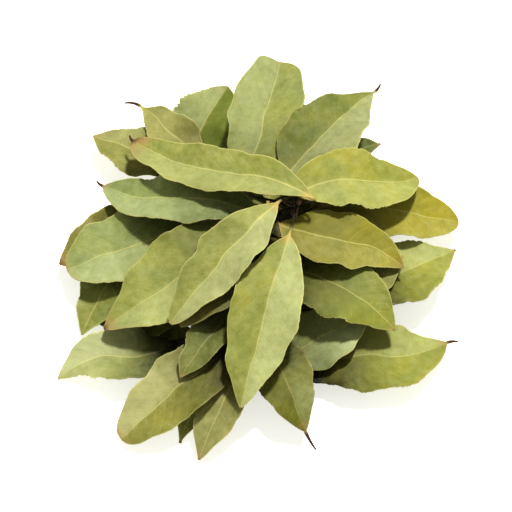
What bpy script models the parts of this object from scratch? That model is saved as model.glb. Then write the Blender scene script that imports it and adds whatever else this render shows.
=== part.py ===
"""Bay leaf sprig: a forked woody twig that lies down, with dried leaves spread round it in a low mound.

Units: the tables below are in millimetres and degrees, and MM turns them into Blender's metres.
Frame: +Z up, the surface under the sprig at Z = 0, the origin in the middle of its footprint.
Headings are measured from +X towards +Y. The twig is one woody piece and each leaf is one piece.
"""

import math
from dataclasses import dataclass

import bmesh
import bpy
import numpy as np

MM = 0.001

# ---------------------------------------------------------------- leaf sizes
BLADE_THICKNESS = 0.8
NECK_THICKNESS = 1.3  # where the blade starts
NECK_LENGTH = 0.12  # of the blade, over which it thins
RIB_DEPTH = 0.45  # the midrib stands this far out of the underside at the base
STALK_RADIUS = 0.75
NECK_HALF_WIDTH = 0.95
TIP_HALF_WIDTH = 0.45
BARK_GAP = 0.55  # between the end of a leaf stalk and the bark
STALK_LEAN = 0.3  # towards the tip of its branch, as it leaves the bark
STALK_PULL = 0.42  # of the span from bark to blade, before the stalk turns
HOOK_RADIUS = 0.5
STALK_STATIONS = (0.0, 0.3, 0.6, 0.85)
BLADE_STATIONS = (0.0, 0.05, 0.12, 0.21, 0.31, 0.41, 0.51, 0.61, 0.71, 0.81, 0.89, 0.955, 1.0)
ACROSS = (1.0, 0.5, 0.0, -0.5, -1.0)  # left margin to right margin
RIPPLES = 2.7  # waves of the margin along one blade, up and down
MARGIN_WAVES = 4.3  # and in the outline
MARGIN_WAVE = 0.03  # of the half width
PHASE_STEP = 47  # degrees by which the waves of one leaf are ahead of those of the last one
PHASE_START = -188  # degrees, for the first leaf
RIGHT_BEHIND = 1.9  # radians by which the waves of the right margin are behind the left one's
HOOK_STEPS = 3
LOBE_START = 0.5  # of the blade, from where a lobe grows
LOBE_LATE = 2.2  # above 1 the lobe is fullest nearer to the tip

# ---------------------------------------------------------------- laying rule
CLEARANCE = 0.95  # kept over what a leaf lies on
BEND_RADIUS = 75.0  # a dried leaf bends no tighter than this over what is under it
CELL = 1.0
FIELD = 140  # half side of the height field, in cells
FINE = 7  # samples across one facet when a leaf is laid

# The leaves and the twig are placed from a point under the crown; the middle of the footprint is here.
CENTRE = (0.25, -4.05)

# ---------------------------------------------------------------- the twig
TWIG = {
    # name: (points x, y, z, radius), from where it leaves its parent to its tip
    "stem": ((34, 62, 2.2, 2.5), (28, 44, 2.2, 2.5), (21, 26, 2.2, 2.5), (15, 9, 2.2, 2.45),
             (9, -9, 2.1, 2.35), (6, -24, 2.6, 2.1), (6, -40, 5.0, 1.8), (8, -54, 6.5, 1.4)),
    "crown": ((16, 12, 2.6, 2.0), (15, 10, 12, 1.9), (15, 9, 24, 1.7), (16, 9, 34, 1.5),
              (17, 8, 38.5, 1.2)),
    "left": ((20, 22, 2.4, 1.9), (5, 23, 6, 1.8), (-15, 22, 8, 1.6), (-34, 21, 9, 1.4), (-47, 21, 8, 1.1)),
    "front_left": ((10, -6, 2.4, 1.8), (-4, -14, 5, 1.7), (-18, -26, 8, 1.5), (-25, -32, 8.5, 1.2)),
    "right": ((12, 1, 2.4, 1.8), (20, -7, 5, 1.7), (27, -18, 8, 1.5), (31, -28, 9, 1.2)),
}
TWIG_MESH = (("stem", 12, 30), ("crown", 10, 16), ("left", 9, 20), ("front_left", 9, 14), ("right", 9, 12))
SWELL = 0.07  # of the radius, at the knots
SWELLINGS = 5  # knots on each branch
END_BUD = ((0.6, 1.2), (1.7, 1.1), (2.7, 0.45))  # distance past the tip and width, in radii


@dataclass
class Leaf:
    """One leaf: what it grows on, where its blade starts and points, and how it has dried."""

    name: str
    tone: str
    on: tuple  # branch of the twig, and how far along it
    base: tuple  # start of the blade
    heading: float
    reach: float  # along the heading, seen from above
    tip_z: float
    width: float
    fold: float = 12.0  # each half rises by this angle; below 0 the midrib is a ridge
    roll: float = 0.0  # lifts the side on the left of the heading
    arch: float = 3.0  # rise of the midrib half way along
    sway: float = 0.0  # S-bend of the midrib
    sweep: float = 0.0  # bow of the midrib to the left
    ripple: float = 1.1
    phase: float = 0.0
    peak: float = 0.46  # where it is widest
    heel: float = 0.8  # 0.5 is a round base, 1 a wedge
    blunt: float = 0.8  # 0.5 is a round tip, above 1 a drawn-out one
    hook: float = 0.0  # length of a dried, curled tip
    hook_turn: float = 0.0
    hook_rise: float = 0.0
    lobe: float = 0.0  # the left half runs on this far past the end of the midrib, beside a notch
    settle: bool = False  # lowered until it touches what is under it


LEAVES = (
    # hidden and half hidden leaves, low in the mound
    Leaf("front_left_low", "green", ("front_left", 0.85), (-26, -38, 6), 200, 34, 2, 22, fold=4, arch=1,
         settle=True),
    Leaf("centre_left", "green", ("stem", 0.5), (7, 2, 6), 135, 17, 4, 17, fold=4, arch=1, settle=True),
    Leaf("heart_left", "olive", ("stem", 0.47), (9, 8, 6), 101, 34, 4, 18, fold=4, arch=1, settle=True),
    Leaf("heart_back", "olive", ("stem", 0.36), (17, 15, 6), 86, 27, 4, 22, heel=0.6, fold=4, arch=1,
         settle=True),
    Leaf("left_fill", "grey", ("left", 0.9), (-49, 16, 4), 198, 36, 2, 22, fold=4, arch=1, settle=True),
    Leaf("back_fill", "olive", ("stem", 0.1), (27, 62, 4), 120, 24, 3, 18, fold=6, arch=1, settle=True),
    Leaf("back_low", "green", ("stem", 0.25), (17, 50, 5), 103, 33, 2, 19, fold=6, arch=1, settle=True),
    Leaf("back_low_left", "yellow", ("left", 0.42), (-11, 37, 6), 113, 36, 3, 20, fold=6, arch=1,
         settle=True),
    Leaf("right_fill", "olive", ("right", 0.7), (33, -14, 6), 6, 44, 3, 24, fold=4, arch=1, settle=True),
    Leaf("low_left_fill", "olive", ("front_left", 0.8), (-31, -27, 5), 183, 41, 1, 28, fold=4, arch=1,
         settle=True),
    Leaf("front_tip", "green", ("front_left", 0.7), (-19, -46, 5), 251, 46, 1, 18, fold=6, blunt=1.1,
         settle=True),
    Leaf("back_tip", "green", ("stem", 0.28), (28, 44, 6), 26, 29, 8, 16, blunt=1.1, settle=True),
    Leaf("front_fill", "olive", ("front_left", 0.45), (-9, -30, 7), 262, 46, 2, 18, fold=4, arch=1,
         settle=True),
    Leaf("inner_low", "olive", ("stem", 0.52), (14, -8, 6), 274, 40, 3, 20, fold=4, arch=1, settle=True),
    Leaf("centre_back", "green", ("crown", 0.25), (9, 19, 12), 116, 48, 10, 28, heel=0.5, fold=4,
         arch=1, settle=True),
    Leaf("centre_front", "olive", ("crown", 0.2), (9, 5, 10), 222, 35, 7, 28, fold=4, arch=1,
         settle=True),
    Leaf("centre_right", "olive", ("crown", 0.25), (23, 16, 12), 27, 48, 8, 27, heel=0.6, fold=4,
         arch=1, settle=True),
    # the rim
    Leaf("rim_low", "green", ("left", 0.97), (-56, 8, 7), 245, 50, 1, 22, fold=6, roll=6, arch=1,
         settle=True),
    Leaf("rim_front", "olive", ("stem", 0.85), (-3, -52, 6), 244, 52, 1, 22, fold=8, roll=8,
         settle=True),
    Leaf("rim_left", "olive", ("left", 0.95), (-46, 17, 8), 208, 47, 3, 27, fold=6, arch=1, settle=True),
    Leaf("low_left", "green", ("front_left", 0.97), (-35, -44, 9), 195, 54, 1, 27, sway=3, blunt=0.9,
         settle=True),
    Leaf("low_right", "yellow", ("stem", 0.98), (17, -60, 7), 15, 67, 5, 36, sway=3, fold=5, heel=0.6,
         hook=5, hook_turn=-60, hook_rise=35, settle=True),
    Leaf("under_right", "grey", ("stem", 0.93), (5, -56, 9), 28, 48, 9, 29, fold=4, settle=True),
    Leaf("back_left", "yellow", ("left", 0.66), (-36, 43, 12), 62, 47, 16, 32, fold=18, settle=True),
    Leaf("left_back", "olive", ("left", 0.75), (-34, 36, 12), 148, 47, 8, 24, fold=6, arch=1,
         settle=True),
    Leaf("left_dark_hook", "olive", ("left", 0.6), (-26, 41, 13), 131, 41, 12, 21, fold=8, blunt=1.3,
         hook=8, hook_turn=50, settle=True),
    Leaf("low_front", "yellow", ("stem", 0.8), (0, -43, 12), 294, 49, 4, 26, fold=8, hook=9,
         hook_turn=20, hook_rise=-20, settle=True),
    Leaf("low_front_left", "olive", ("front_left", 0.75), (-8, -49, 11), 218, 65, 3, 30, fold=8,
         blunt=0.42, settle=True),
    Leaf("right", "yellow", ("right", 0.95), (38, -28, 10), 32, 57, 8, 34, fold=8, blunt=1.0,
         settle=True),
    Leaf("right_back", "yellow", ("crown", 0.4), (29, 18, 19), 358, 59, 8, 29, fold=8, blunt=0.5,
         settle=True),
    Leaf("inner_right", "olive", ("right", 0.85), (26, -29, 13), 31, 43, 15, 26, fold=6, settle=True),
    Leaf("small_curled", "green", ("front_left", 0.66), (-8, -30, 16), 235, 45, 11, 19, fold=20,
         settle=True),
    # the middle of the mound
    Leaf("inner_back", "green", ("crown", 0.5), (4, 20, 20), 72, 28, 22, 22),
    Leaf("mid_left", "grey", ("left", 0.35), (-19, 13, 12), 200, 69, 5, 37, fold=8, arch=2, blunt=0.42,
         settle=True),
    Leaf("mid_front_left", "yellow", ("crown", 0.5), (0, 8, 20), 216, 83, 6, 40, heel=0.6,
         fold=6, arch=2, sweep=4, settle=True),
    Leaf("inner_front", "olive", ("crown", 0.55), (2, -1, 22), 232, 58, 12, 31, fold=6, arch=2,
         settle=True),
    Leaf("mid_right", "green", ("crown", 0.6), (11, -16, 22), 330, 55, 11, 34, fold=5, peak=0.4,
         heel=0.55, sweep=3, settle=True),
    Leaf("back", "grey", ("crown", 0.62), (-5, 25, 25), 77, 65, 26, 32, fold=9, peak=0.5, heel=0.7,
         blunt=0.45, lobe=7),
    Leaf("back_right", "green", ("crown", 0.66), (12, 25, 29), 53, 66, 18, 34, fold=10, peak=0.36,
         heel=0.6, blunt=1.15, hook=6, hook_turn=20, settle=True),
    # the crown
    Leaf("crown_left", "grey", ("crown", 0.7), (1, 7, 26), 162, 73, 12, 27, fold=9, sway=-2, sweep=3,
         hook=5, hook_turn=-25, blunt=0.6, settle=True),
    Leaf("crown_right", "olive", ("crown", 0.74), (9, 1, 31), 344, 56, 16, 28, fold=6, sway=-2,
         heel=0.65, settle=True),
    Leaf("crown_right_back", "yellow", ("crown", 0.86), (16, 12, 39), 19, 57, 22, 30, fold=8, sway=2,
         heel=0.5, blunt=0.6, settle=True),
    Leaf("crown_front", "yellow", ("crown", 0.9), (13, -9, 34), 254, 76, 9, 31, fold=9, blunt=0.8,
         settle=True),
    Leaf("crown_front_left", "green", ("crown", 0.97), (8, 5, 38), 228, 69, 16, 25, fold=9, blunt=0.65,
         settle=True),
    Leaf("crown_left_back", "green", ("crown", 0.98), (23, 6, 44), 152, 89, 25, 23, fold=9, sway=-3,
         sweep=3, blunt=0.42, hook=4, hook_turn=-40, settle=True),
)

TONES = {
    # name: (red, green, blue), roughness
    "green": ((0.44, 0.45, 0.19), 0.6),
    "yellow": ((0.50, 0.46, 0.17), 0.6),
    "olive": ((0.37, 0.37, 0.13), 0.6),
    "grey": ((0.42, 0.46, 0.23), 0.65),
    "bark": ((0.17, 0.10, 0.055), 0.85),
}


def unit(v):
    return v / np.linalg.norm(v)


def turned(v, axis, angle):
    """v turned about a unit axis by an angle in radians."""
    kept = axis * np.dot(axis, v)
    return kept + (v - kept) * math.cos(angle) + np.cross(axis, v) * math.sin(angle)


def spline(points, t):
    """A smooth curve (Catmull-Rom) through rows of numbers, at t from 0 to 1."""
    rows = np.array(points, dtype=float)
    rows = np.vstack((2 * rows[0] - rows[1], rows, 2 * rows[-1] - rows[-2]))
    spans = len(rows) - 3
    i = min(int(t * spans), spans - 1)
    f = t * spans - i
    a, b, c, d = rows[i:i + 4]
    return b + 0.5 * f * (c - a + f * (2 * a - 5 * b + 4 * c - d + f * (3 * b - a - 3 * c + d)))


def solid(name, verts, faces, tone):
    """A new object from vertices in millimetres."""
    mesh = bpy.data.meshes.new(name)
    places = [((x - CENTRE[0]) * MM, (y - CENTRE[1]) * MM, z * MM) for x, y, z in verts]
    mesh.from_pydata(places, [], faces)
    bm = bmesh.new()
    bm.from_mesh(mesh)
    bmesh.ops.recalc_face_normals(bm, faces=bm.faces)
    bm.to_mesh(mesh)
    bm.free()
    mesh.materials.append(material(tone))
    obj = bpy.data.objects.new(name, mesh)
    bpy.context.collection.objects.link(obj)
    return obj


def material(tone):
    found = bpy.data.materials.get(tone)
    if found:
        return found
    colour, roughness = TONES[tone]
    mat = bpy.data.materials.new(tone)
    mat.use_nodes = True
    shader = mat.node_tree.nodes["Principled BSDF"]
    shader.inputs["Base Color"].default_value = (*colour, 1)
    shader.inputs["Roughness"].default_value = roughness
    shader.inputs["Metallic"].default_value = 0
    return mat


# ---------------------------------------------------------------- the shape of one leaf
class Blade:
    """The surface of one leaf: u runs from the start of the blade to its tip, v across it (-1 to 1)."""

    def __init__(self, leaf):
        self.leaf = leaf
        heading = math.radians(leaf.heading)
        self.ahead = np.array((math.cos(heading), math.sin(heading), 0.0))
        self.left = np.array((-math.sin(heading), math.cos(heading), 0.0))
        self.lift = np.zeros(len(BLADE_STATIONS))

    def rib(self, u):
        leaf = self.leaf
        aside = leaf.sweep * math.sin(math.pi * u) + leaf.sway * math.sin(2 * math.pi * u)
        spot = np.array(leaf.base, dtype=float) + self.ahead * leaf.reach * u + self.left * aside
        spot[2] += (leaf.tip_z - leaf.base[2]) * u + leaf.arch * math.sin(math.pi * u)
        return spot

    def half_width(self, u):
        leaf = self.leaf
        if u < leaf.peak:
            form = math.sin(math.pi / 2 * u / leaf.peak) ** leaf.heel
        else:
            form = max(math.cos(math.pi / 2 * (u - leaf.peak) / (1 - leaf.peak)), 0.0) ** leaf.blunt
        form *= 1 + MARGIN_WAVE * math.sin(2 * math.pi * MARGIN_WAVES * u + math.radians(leaf.phase))
        least = NECK_HALF_WIDTH + (TIP_HALF_WIDTH - NECK_HALF_WIDTH) * u
        return max(leaf.width / 2 * form, least)

    def axes(self, u):
        """Unit vectors along the rib, to its left and up from it, with the roll in them."""
        step = 0.002
        low, high = max(u - step, 0.0), min(u + step, 1.0)
        ahead = unit(self.rib(high) - self.rib(low))
        side = unit(np.cross((0, 0, 1), ahead))
        side = turned(side, ahead, math.radians(self.leaf.roll))
        return ahead, side, np.cross(ahead, side)

    def point(self, u, v):
        leaf = self.leaf
        _, side, up = self.axes(u)
        half = self.half_width(u)
        fold = math.radians(leaf.fold)
        behind = RIGHT_BEHIND if v < 0 else 0.0
        wave = math.sin(2 * math.pi * RIPPLES * u + math.radians(leaf.phase) + behind)
        height = abs(v) * half * math.sin(fold)
        height += leaf.ripple * abs(v) ** 1.5 * wave * math.sqrt(max(math.sin(math.pi * u), 0.0))
        return self.rib(u) + side * v * half * math.cos(fold) + up * height + self.lobe(u, v)

    def lobe(self, u, v):
        """How far the blade runs on beside a notch at its tip."""
        if v <= 0 or u <= LOBE_START:
            return np.zeros(3)
        part = (u - LOBE_START) / (1 - LOBE_START)
        return self.ahead * self.leaf.lobe * v * math.sin(math.pi * part ** LOBE_LATE)

    def normal(self, u, v):
        du, dv = 0.004, 0.05
        along = self.point(min(u + du, 1), v) - self.point(max(u - du, 0), v)
        across = self.point(u, min(v + dv, 1)) - self.point(u, max(v - dv, -1))
        return unit(np.cross(along, across))

    def thickness(self, u):
        return BLADE_THICKNESS + (NECK_THICKNESS - BLADE_THICKNESS) * max(1 - u / NECK_LENGTH, 0.0)

    def ring(self, k):
        """The ten points round station k: over the top from left to right, then back underneath."""
        u = BLADE_STATIONS[k]
        top, under = [], []
        raised = np.array((0, 0, self.lift[k]))
        for v in ACROSS:
            middle = self.point(u, v) + raised
            normal = self.normal(u, v)
            half = self.thickness(u) / 2
            rib = RIB_DEPTH * (1 - 0.8 * u) if v == 0 else 0.0
            top.append(middle + normal * half)
            under.append(middle - normal * (half + rib))
        return top + under[::-1]


def round_ring(centre, side, up, radius):
    angles = (162, 126, 90, 54, 18, -18, -54, -90, -126, -162)
    return [centre + (side * -math.cos(math.radians(a)) + up * math.sin(math.radians(a))) * radius
            for a in angles]


def stalk_rings(blade, twig_point, twig_axis, twig_radius):
    """Rings from the bark to just before the start of the blade."""
    ahead, side, up = blade.axes(0.0)
    end = blade.rib(0.0) + np.array((0, 0, blade.lift[0]))
    out = end - twig_point
    out = unit(out - twig_axis * np.dot(out, twig_axis))
    out = unit(out + STALK_LEAN * twig_axis)
    start = twig_point + out * (twig_radius + BARK_GAP)
    pull = max(STALK_PULL * np.linalg.norm(end - start), 1.5)
    handles = (start, start + out * pull, end - ahead * pull, end)
    rings = []
    for t in STALK_STATIONS:
        a, b, c, d = handles
        centre = a * (1 - t) ** 3 + 3 * b * t * (1 - t) ** 2 + 3 * c * t * t * (1 - t) + d * t ** 3
        along = unit(3 * (b - a) * (1 - t) ** 2 + 6 * (c - b) * t * (1 - t) + 3 * (d - c) * t * t)
        across = unit(side - along * np.dot(side, along))
        rings.append(round_ring(centre, across, np.cross(along, across), STALK_RADIUS))
    return rings


def hook_rings(blade):
    leaf = blade.leaf
    if not leaf.hook:
        return []
    ahead, side, up = blade.axes(1.0)
    centre = blade.rib(1.0) + np.array((0, 0, blade.lift[-1]))
    rings = []
    for i in range(HOOK_STEPS):
        ahead = turned(ahead, np.array((0.0, 0.0, 1.0)), math.radians(leaf.hook_turn) / HOOK_STEPS)
        ahead = unit(turned(ahead, side, -math.radians(leaf.hook_rise) / HOOK_STEPS))
        side = unit(side - ahead * np.dot(side, ahead))
        centre = centre + ahead * leaf.hook / HOOK_STEPS
        rings.append(round_ring(centre, side, np.cross(ahead, side), HOOK_RADIUS))
    return rings


def loft(rings):
    """Vertices and triangles of a closed skin, split alike on the upper and the lower face."""
    verts = [p for ring in rings for p in ring]
    count = len(rings[0])
    faces = []
    for r in range(len(rings) - 1):
        low, high = r * count, (r + 1) * count
        for j in range(count):
            k = (j + 1) % count
            inner, outer = (k, j) if j in (0, 1, 7, 8) else (j, k)
            if inner == k:
                faces += [(low + j, low + k, high + j), (low + k, high + k, high + j)]
            else:
                faces += [(low + j, low + k, high + k), (low + j, high + k, high + j)]
    for ring, flip in ((0, True), (len(rings) - 1, False)):
        verts.append(sum(rings[ring]) / count)
        centre = len(verts) - 1
        for j in range(count):
            a, b = ring * count + j, ring * count + (j + 1) % count
            faces.append((centre, b, a) if flip else (centre, a, b))
    return verts, faces


# ---------------------------------------------------------------- laying the leaves
class HeightField:
    """The top of everything laid so far, on a square grid."""

    def __init__(self):
        self.top = np.zeros((2 * FIELD, 2 * FIELD))

    def cell(self, x, y):
        return int(math.floor(x / CELL)) + FIELD, int(math.floor(y / CELL)) + FIELD

    def add(self, points):
        for x, y, z in points:
            i, j = self.cell(x, y)
            self.top[i, j] = max(self.top[i, j], z)

    def under(self, x, y):
        i, j = self.cell(x, y)
        return self.top[i - 1:i + 2, j - 1:j + 2].max()


def facet_samples(rings, columns):
    """Points spread over the facets between rings, with the number of the lower ring."""
    for r in range(len(rings) - 1):
        for a, b in columns:
            corners = (rings[r][a], rings[r][b], rings[r + 1][a], rings[r + 1][b])
            for i in range(FINE + 1):
                for j in range(FINE + 1):
                    s, t = i / FINE, j / FINE
                    yield r, ((corners[0] * (1 - s) + corners[1] * s) * (1 - t)
                              + (corners[2] * (1 - s) + corners[3] * s) * t)


TOP_COLUMNS = ((0, 1), (1, 2), (2, 3), (3, 4))
UNDER_COLUMNS = ((5, 6), (6, 7), (7, 8), (8, 9), (9, 0), (4, 5))


def lay(blade, field):
    """Raise the blade where it must clear what is under it, in a curve that a leaf can take."""
    rings = [blade.ring(k) for k in range(len(BLADE_STATIONS))]
    need = np.full(len(rings), -1e9)
    for r, spot in facet_samples(rings, UNDER_COLUMNS):
        under = field.under(spot[0], spot[1])
        short = (under + CLEARANCE if under > 0 else 0.0) - spot[2]
        need[r] = max(need[r], short)
        need[r + 1] = max(need[r + 1], short)
    drop = min(need.max(), 0.0) if blade.leaf.settle else 0.0
    need = np.maximum(need, drop)
    along = np.array(BLADE_STATIONS) * blade.leaf.reach
    bend = (along[:, None] - along[None, :]) ** 2 / (2 * BEND_RADIUS)
    blade.lift = np.maximum((need[None, :] - bend).max(axis=1), drop)
    rings = [blade.ring(k) for k in range(len(BLADE_STATIONS))]
    field.add(spot for _, spot in facet_samples(rings, TOP_COLUMNS + UNDER_COLUMNS))
    return rings


# ---------------------------------------------------------------- the twig
def branch_at(name, t):
    """Point, direction and radius of a branch of the twig."""
    points = TWIG[name]
    here = spline(points, t)
    ahead = spline(points, min(t + 0.01, 1))[:3] - spline(points, max(t - 0.01, 0))[:3]
    return here[:3], unit(ahead), here[3]


def branch_mesh(name, sides, rings):
    """Rings of points along a branch, with a bud at its end."""
    rows = []
    side = np.array((0.0, 0.0, 1.0))
    for i in range(rings + 1):
        t = i / rings
        here, ahead, radius = branch_at(name, t)
        side = unit(np.cross(ahead, (0.3, 0.2, 1.0)) if i == 0 else side - ahead * np.dot(side, ahead))
        up = np.cross(ahead, side)
        swell = 1 + SWELL * math.cos(2 * math.pi * t * SWELLINGS)
        angles = [2 * math.pi * j / sides for j in range(sides)]
        rows.append([here + (side * math.cos(a) + up * math.sin(a)) * radius * swell for a in angles])
    here, ahead, radius = branch_at(name, 1.0)
    for out, wide in END_BUD:
        centre = here + ahead * out * radius
        rows.append([centre + unit(p - here) * radius * wide for p in rows[rings]])
    return rows


def build_twig():
    """All the branches as one solid, cut off flat at the surface it lies on."""
    base = None
    for name, sides, rings in TWIG_MESH:
        rows = branch_mesh(name, sides, rings)
        verts = [p for row in rows for p in row]
        faces = []
        for r in range(len(rows) - 1):
            for j in range(sides):
                k = (j + 1) % sides
                faces.append((r * sides + j, r * sides + k, (r + 1) * sides + k, (r + 1) * sides + j))
        faces.append(tuple(range(sides - 1, -1, -1)))
        faces.append(tuple(range((len(rows) - 1) * sides, len(rows) * sides)))
        branch = solid("twig" if base is None else "branch", verts, faces, "bark")
        if base is None:
            base = branch
            continue
        union = base.modifiers.new("fuse", "BOOLEAN")
        union.operation = "UNION"
        union.solver = "EXACT"
        union.object = branch
        bpy.context.view_layer.update()
        fused = bpy.data.meshes.new_from_object(base.evaluated_get(bpy.context.evaluated_depsgraph_get()))
        base.modifiers.remove(union)
        base.data = fused
        bpy.data.objects.remove(branch)
    bm = bmesh.new()
    bm.from_mesh(base.data)
    cut = bmesh.ops.bisect_plane(bm, geom=bm.verts[:] + bm.edges[:] + bm.faces[:], plane_co=(0, 0, 0),
                                 plane_no=(0, 0, -1), clear_outer=True)
    rim = [g for g in cut["geom_cut"] if isinstance(g, bmesh.types.BMEdge)]
    bmesh.ops.holes_fill(bm, edges=rim, sides=0)
    bmesh.ops.triangulate(bm, faces=bm.faces)
    bmesh.ops.recalc_face_normals(bm, faces=bm.faces)
    bm.to_mesh(base.data)
    bm.free()
    return base


def twig_samples():
    """Points on the upper side of the low branches, for the height field."""
    for name in TWIG:
        if name == "crown":
            continue
        for i in range(401):
            here, _, radius = branch_at(name, i / 400)
            for j in range(24):
                a = 2 * math.pi * j / 24
                for part in (0.35, 0.7, 1.08):
                    reach = radius * part
                    yield (here[0] + math.cos(a) * reach, here[1] + math.sin(a) * reach,
                           here[2] + math.sqrt(max(1.17 * radius ** 2 - reach ** 2, 0.0)))


def main():
    for obj in list(bpy.data.objects):
        bpy.data.objects.remove(obj)
    build_twig()
    field = HeightField()
    field.add(twig_samples())
    for count, leaf in enumerate(LEAVES):
        leaf.phase = PHASE_START + PHASE_STEP * count
        blade = Blade(leaf)
        rings = lay(blade, field)
        stalk = stalk_rings(blade, *branch_at(*leaf.on))
        field.add(spot for _, spot in facet_samples(stalk, TOP_COLUMNS))
        rings = stalk + rings + hook_rings(blade)
        verts, faces = loft(rings)
        solid("leaf_" + leaf.name, verts, faces, leaf.tone)


main()
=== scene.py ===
"""Bay leaf sprig, dressed: dried leaves with their veins, margins and stains, on a barked twig.

The tables are in millimetres and degrees, as in the part's source, and MM turns them into metres.
"""

import math
from collections import namedtuple
from dataclasses import dataclass
from functools import partialmethod

import bmesh
import bpy
import numpy as np
from mathutils import Matrix, Vector, noise


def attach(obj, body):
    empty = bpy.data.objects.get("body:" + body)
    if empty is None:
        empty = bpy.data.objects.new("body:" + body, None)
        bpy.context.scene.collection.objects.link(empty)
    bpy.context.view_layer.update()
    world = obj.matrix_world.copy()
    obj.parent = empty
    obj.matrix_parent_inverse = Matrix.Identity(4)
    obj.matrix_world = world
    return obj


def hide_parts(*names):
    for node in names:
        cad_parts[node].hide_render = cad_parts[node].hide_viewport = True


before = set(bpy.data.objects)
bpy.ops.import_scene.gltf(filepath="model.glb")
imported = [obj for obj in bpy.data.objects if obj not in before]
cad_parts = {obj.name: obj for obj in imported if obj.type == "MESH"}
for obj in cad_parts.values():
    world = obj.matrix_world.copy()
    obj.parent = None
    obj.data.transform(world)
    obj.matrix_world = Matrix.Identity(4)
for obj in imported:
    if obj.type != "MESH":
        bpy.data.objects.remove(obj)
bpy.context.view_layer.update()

MM = 0.001

# ---- camera, light and floor
CAMERA_ELEVATION = 60.0
CAMERA_DISTANCE = 1.9  # metres
VIEW_WIDTH = 0.2253  # metres across the picture at the sprig
VIEW_RIGHT = -1.57  # mm from the origin to the middle of the picture
VIEW_UP = 6.7
SENSOR = 36.0
KEY_FROM = (0.28, 0.58, 1.35)  # direction towards the main light
KEY_STRENGTH = 3.6
KEY_SPREAD = 7.0  # degrees
KEY_COLOUR = (1.0, 0.985, 0.93)
STUDIO_STRENGTH = 0.42
STUDIO_COLOUR = (1.0, 0.98, 0.86, 1)
FLOOR_HALF = 1500
FLOOR_WHITE = (0.9, 0.9, 0.9, 1)
FLOOR_GLOW = 0.56  # a light table, on which only the shadows close to the leaves show

# ---- sizes, as in the part's source
CENTRE = np.array((0.25, -4.05, 0.0))  # middle of the footprint, in the tables' own frame
BLADE_STATIONS = np.array((0.0, 0.05, 0.12, 0.21, 0.31, 0.41, 0.51, 0.61, 0.71, 0.81, 0.89, 0.955, 1.0))
SOLID_BLADE = 0.8  # thickness of the part's solid blades
SOLID_NECK = 1.3  # and where they start
SOLID_NECK_LENGTH = 0.12  # of the blade, over which the neck thins
RIPPLES = 2.7  # waves of the margin along one blade, up and down
RIPPLE_GROWTH = 1.5  # above 1 they keep to the margin
MARGIN_WAVES = 4.3  # and in the outline
MARGIN_WAVE = 0.03  # of the half width
PHASE_STEP = 47  # degrees from the waves of one leaf to those of the next
PHASE_START = -188  # degrees, for the first leaf
RIGHT_BEHIND = 1.9  # radians by which the right margin's waves are behind the left one's
LOBE_START = 0.5  # of the blade, from where a lobe grows
LOBE_LATE = 2.2  # above 1 the lobe is fullest nearer to the tip
STALK_LEAN = 0.3  # towards the tip of its branch, as it leaves the bark
STALK_PULL = 0.42  # of the span from bark to blade, before the stalk turns

# ---- sizes that only the dressed sprig has
BLADE_THICKNESS = 0.36
NECK_THICKNESS = 1.0
NECK_LENGTH = 0.11
NECK_HALF_WIDTH = 0.7
TIP_HALF_WIDTH = 0.6
SAME_SPOT = 0.03  # a corner of the solid this near to a drawn place belongs to it
LOBE_STEEP = 0.75  # below 1 the notch beside the midrib is steep
RIGHT_LOBE = 0.45  # the lobe on the right, as a part of the one on the left
STATIONS = 128  # rows of the mesh along a blade
SIDE_ROWS = 15  # and from its midrib to one margin
RIB_ROWS = (0.0, 0.6, 1.15, 2.1)  # the first of these, in half widths of the midrib
RIB_HALF_WIDTH = (0.5, 0.16)  # at the base and at the tip
RIB_SPREAD = 1.9  # half widths of the midrib, over which it rises from the blade
RIB_TOP = 0.13  # how far the midrib stands out of the upper face
RIB_UNDER = 0.42  # and out of the underside, at the base
RIB_UNDER_LOSS = 0.75  # of that, lost by the tip
VEIN_SPACING = 5.2  # between side veins, along the midrib
VEIN_SLANT = 0.75  # forward for each mm outwards
VEIN_BEND = 0.022  # and how it turns more and more towards the tip
VEIN_SHIFT = 0.45  # spacings by which the veins of the right half are behind
VEIN_SWAY = 0.1  # spacings by which a vein sways on its way outwards
VEIN_SWAY_TURN = 0.5  # radians of that sway for each mm
PUCKER = 0.13  # the blade swells this far between its side veins
PUCKER_FROM = 3.0  # from the midrib, where the swelling is full
PUCKER_TO = 2.5  # from the margin, where it starts to fade
CRINKLES = ((9.0, 0.55, 0.7), (4.6, 0.34, 1.3), (2.4, 0.12, 1.5))  # cell, height, how near the margin
MARGIN_STRAYS = ((8.0, 0.75), (3.6, 0.4), (1.7, 0.17))  # cell, reach: how far a margin strays sideways
RIB_STRAYS = ((11.0, 0.75), (5.0, 0.25))  # and the midrib
LEAST_STRAY = 0.45  # of that reach, where a margin isn't ragged at all
NARROW = 7.0  # half width below which a margin strays less
TOOTH_LENGTH = 3.1
TOOTH_DEPTH = 0.95  # of a ragged margin
TOOTH_DRIFT = 1.8  # teeth by which they run early or late
TOOTH_DRIFT_CELL = 4.0
TOOTH_SHARE = 0.6  # how much of a ragged margin has teeth, 0 to 1
TOOTH_SHARE_CELL = 9.0
EDGE_ROUND = 0.12
STALK_STEPS = 9
STALK_FINE = 0.55  # radius of the dressed stalk
STALK_SUNK = 0.35  # how deep a stalk sits in the bark
STALK_SWELL = 0.55  # it is this much thicker where it leaves the bark
STALK_SWELL_LENGTH = 0.14  # of the stalk
LEAST_PULL = 1.5  # before a stalk turns
HOOK_STEPS = 14
HOOK_RADIUS = (0.8, 0.35)  # where it leaves the blade, and at its end
BEYOND = 0.1  # u runs this far below 0 along a stalk, and above 1 along a hook
PAINTED_SHADE_REACH = 0.75  # of the blade, over which the painted shade at its base lightens
LIT_HALF_BLEND = 0.8  # over which one half's painted light passes into the other's
LIT_HALF_PALE = 0.45  # how much paler the painted lit half can be
LIT_HALF_LIGHT = 0.1  # and how much lighter, as painted light
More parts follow.
